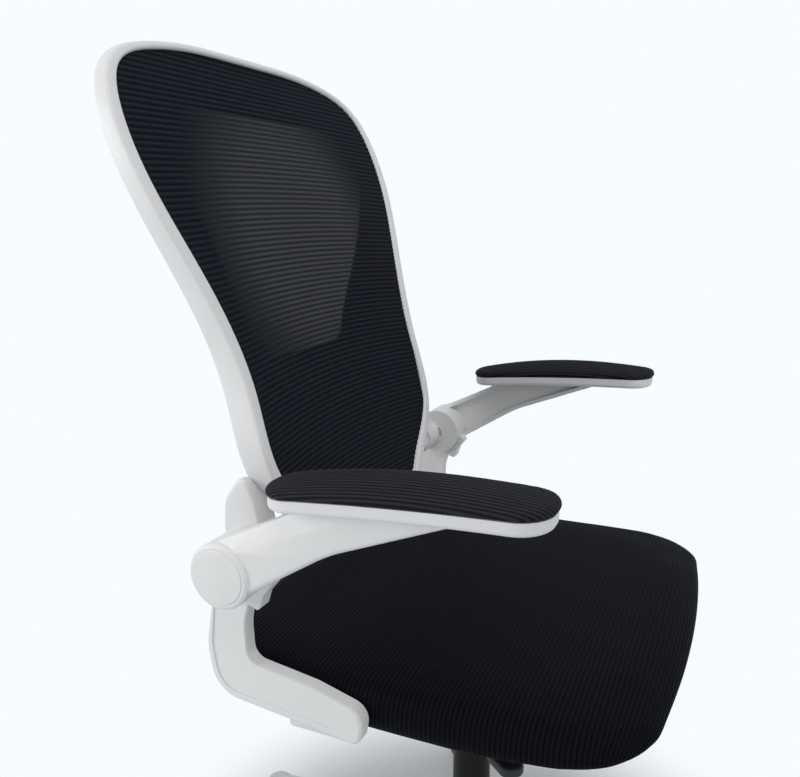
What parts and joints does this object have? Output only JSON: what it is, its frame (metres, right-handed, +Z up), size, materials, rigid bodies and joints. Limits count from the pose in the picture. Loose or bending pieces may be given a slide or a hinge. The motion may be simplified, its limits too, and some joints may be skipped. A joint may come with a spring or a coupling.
{
  "type": "office chair",
  "caption": "Swivel office chair with a framed mesh back, upholstered seat, flip-up arms, tilt mechanism, gas column and a star base on twin-wheel casters.",
  "frame": {"origin": "on the column's axis, on the floor under the casters", "axes": "+Z up along the column, -Y the way the sitter faces, +X the sitter's left"},
  "size_m": [0.6077, 0.6021, 1.0405],
  "materials": {
    "white_plastic": "fine satin moulding",
    "black_plastic": "fine grained moulding",
    "wheel_nylon": "smooth nylon",
    "seat_fabric": "ribbed mesh cover over foam",
    "pad_cover": "ribbed cover over foam",
    "back_fabric": "ribbed stretch mesh",
    "black_steel": "powder coat",
    "chromed_steel": "hard chrome",
    "bright_steel": "zinc plated",
    "plywood": "raw ply"
  },
  "bodies": {
    "base": {"base_star": "white_plastic", "caster_stems": "bright_steel", "column_tube": "black_steel", "column_bush": "black_plastic"},
    "rod": {"gas_rod": "bright_steel", "gas_piston": "bright_steel", "rod_clip": "bright_steel", "thrust_bearing": "bright_steel"},
    "lift": {"gas_cylinder": "chromed_steel", "mechanism_housing": "black_steel", "tilt_pin": "bright_steel", "tension_spring": "bright_steel"},
    "button": {"release_button": "bright_steel"},
    "lever": {"lever_rod": "black_steel", "lever_paddle": "black_plastic"},
    "seat": {"mechanism_plate": "black_steel", "plate_bolts": "bright_steel", "seat_board": "plywood", "seat_cushion": "seat_fabric", "bracket_right": "white_plastic", "bracket_left": "white_plastic", "bracket_bolts": "bright_steel", "back_frame": "white_plastic", "back_shell": "black_plastic", "back_mesh": "back_fabric", "back_screws": "bright_steel", "arm_pin_right": "bright_steel", "arm_pin_left": "bright_steel"},
    "tension_bolt": {"tension_bolt": "bright_steel"},
    "tension_knob": {"tension_knob": "black_plastic"},
    "arm_right": {"arm_strut_right": "white_plastic", "arm_tray_right": "white_plastic", "arm_pad_right": "pad_cover", "arm_cap_right": "white_plastic"},
    "arm_left": {"arm_strut_left": "white_plastic", "arm_tray_left": "white_plastic", "arm_pad_left": "pad_cover", "arm_cap_left": "white_plastic"},
    "caster_1": {"caster_hood_1": "black_plastic", "caster_axle_1": "bright_steel"},
    "wheel_1_right": {"caster_wheel_1_right": "wheel_nylon"},
    "wheel_1_left": {"caster_wheel_1_left": "wheel_nylon"},
    "caster_2": {"caster_hood_2": "black_plastic", "caster_axle_2": "bright_steel"},
    "wheel_2_right": {"caster_wheel_2_right": "wheel_nylon"},
    "wheel_2_left": {"caster_wheel_2_left": "wheel_nylon"},
    "caster_3": {"caster_hood_3": "black_plastic", "caster_axle_3": "bright_steel"},
    "wheel_3_right": {"caster_wheel_3_right": "wheel_nylon"},
    "wheel_3_left": {"caster_wheel_3_left": "wheel_nylon"},
    "caster_4": {"caster_hood_4": "black_plastic", "caster_axle_4": "bright_steel"},
    "wheel_4_right": {"caster_wheel_4_right": "wheel_nylon"},
    "wheel_4_left": {"caster_wheel_4_left": "wheel_nylon"},
    "caster_5": {"caster_hood_5": "black_plastic", "caster_axle_5": "bright_steel"},
    "wheel_5_right": {"caster_wheel_5_right": "wheel_nylon"},
    "wheel_5_left": {"caster_wheel_5_left": "wheel_nylon"}
  },
  "joints": [
    {"name": "caster_1_swivel", "type": "hinge", "parent": "base", "child": "caster_1", "pos_m": [0.28012, 0.07506, 0.06], "axis": [0, 0, 1], "continuous": true},
    {"name": "wheel_1_right_roll", "type": "hinge", "parent": "caster_1", "child": "wheel_1_right", "pos_m": [0.28012, 0.09506, 0.0275], "axis": [1, 0, 0], "continuous": true},
    {"name": "wheel_1_left_roll", "type": "hinge", "parent": "caster_1", "child": "wheel_1_left", "pos_m": [0.28012, 0.09506, 0.0275], "axis": [1, 0, 0], "continuous": true},
    {"name": "caster_2_swivel", "type": "hinge", "parent": "base", "child": "caster_2", "pos_m": [0.01518, 0.2896, 0.06], "axis": [0, 0, 1], "continuous": true},
    {"name": "wheel_2_right_roll", "type": "hinge", "parent": "caster_2", "child": "wheel_2_right", "pos_m": [0.01518, 0.3096, 0.0275], "axis": [1, 0, 0], "continuous": true},
    {"name": "wheel_2_left_roll", "type": "hinge", "parent": "caster_2", "child": "wheel_2_left", "pos_m": [0.01518, 0.3096, 0.0275], "axis": [1, 0, 0], "continuous": true},
    {"name": "caster_3_swivel", "type": "hinge", "parent": "base", "child": "caster_3", "pos_m": [-0.27074, 0.10393, 0.06], "axis": [0, 0, 1], "continuous": true},
    {"name": "wheel_3_right_roll", "type": "hinge", "parent": "caster_3", "child": "wheel_3_right", "pos_m": [-0.27074, 0.12393, 0.0275], "axis": [1, 0, 0], "continuous": true},
    {"name": "wheel_3_left_roll", "type": "hinge", "parent": "caster_3", "child": "wheel_3_left", "pos_m": [-0.27074, 0.12393, 0.0275], "axis": [1, 0, 0], "continuous": true},
    {"name": "caster_4_swivel", "type": "hinge", "parent": "base", "child": "caster_4", "pos_m": [-0.1825, -0.22537, 0.06], "axis": [0, 0, 1], "continuous": true},
    {"name": "wheel_4_right_roll", "type": "hinge", "parent": "caster_4", "child": "wheel_4_right", "pos_m": [-0.1825, -0.20537, 0.0275], "axis": [1, 0, 0], "continuous": true},
    {"name": "wheel_4_left_roll", "type": "hinge", "parent": "caster_4", "child": "wheel_4_left", "pos_m": [-0.1825, -0.20537, 0.0275], "axis": [1, 0, 0], "continuous": true},
    {"name": "caster_5_swivel", "type": "hinge", "parent": "base", "child": "caster_5", "pos_m": [0.15795, -0.24321, 0.06], "axis": [0, 0, 1], "continuous": true},
    {"name": "wheel_5_right_roll", "type": "hinge", "parent": "caster_5", "child": "wheel_5_right", "pos_m": [0.15795, -0.22321, 0.0275], "axis": [1, 0, 0], "continuous": true},
    {"name": "wheel_5_left_roll", "type": "hinge", "parent": "caster_5", "child": "wheel_5_left", "pos_m": [0.15795, -0.22321, 0.0275], "axis": [1, 0, 0], "continuous": true},
    {"name": "column_swivel", "type": "hinge", "parent": "base", "child": "rod", "pos_m": [0, 0, 0.05], "axis": [0, 0, 1], "continuous": true},
    {"name": "height_slide", "type": "slide", "parent": "rod", "child": "lift", "axis": [0, 0, 1], "range_m": [0, 0.09]},
    {"name": "seat_tilt", "type": "hinge", "parent": "lift", "child": "seat", "pos_m": [0, -0.06, 0.385], "axis": [-1, 0, 0], "range_deg": [0, 15], "stiffness_Nm_per_rad": 110, "springref_deg": -22.92, "deforming": ["tension_spring"]},
    {"name": "tension_bolt_pivot", "type": "hinge", "parent": "seat", "child": "tension_bolt", "pos_m": [0, -0.095, 0.3804], "axis": [-1, 0, 0], "range_deg": [-15.5, 0.5]},
    {"name": "tension_knob_turn", "type": "hinge", "parent": "tension_bolt", "child": "tension_knob", "pos_m": [0, -0.095, 0.3], "axis": [0, 0, 1], "continuous": true},
    {"name": "lever_lift", "type": "hinge", "parent": "lift", "child": "lever", "pos_m": [-0.04, 0, 0.3803], "axis": [0, 1, 0], "range_deg": [0, 8], "stiffness_Nm_per_rad": 3, "springref_deg": -8.59},
    {"name": "button_press", "type": "slide", "parent": "lift", "child": "button", "axis": [0, 0, -1], "range_m": [-0.0001, 0.0065]},
    {"name": "arm_right_flip", "type": "hinge", "parent": "seat", "child": "arm_right", "pos_m": [-0.275, 0.142, 0.557], "axis": [-1, 0, 0], "range_deg": [0, 90]},
    {"name": "arm_left_flip", "type": "hinge", "parent": "seat", "child": "arm_left", "pos_m": [0.275, 0.142, 0.557], "axis": [-1, 0, 0], "range_deg": [0, 90]}
  ],
  "couplings": [
    {"joint": "tension_bolt_pivot", "follows": "seat_tilt", "ratio": -1},
    {"joint": "button_press", "follows": "lever_lift", "m_per_rad": 0.045}
  ]
}
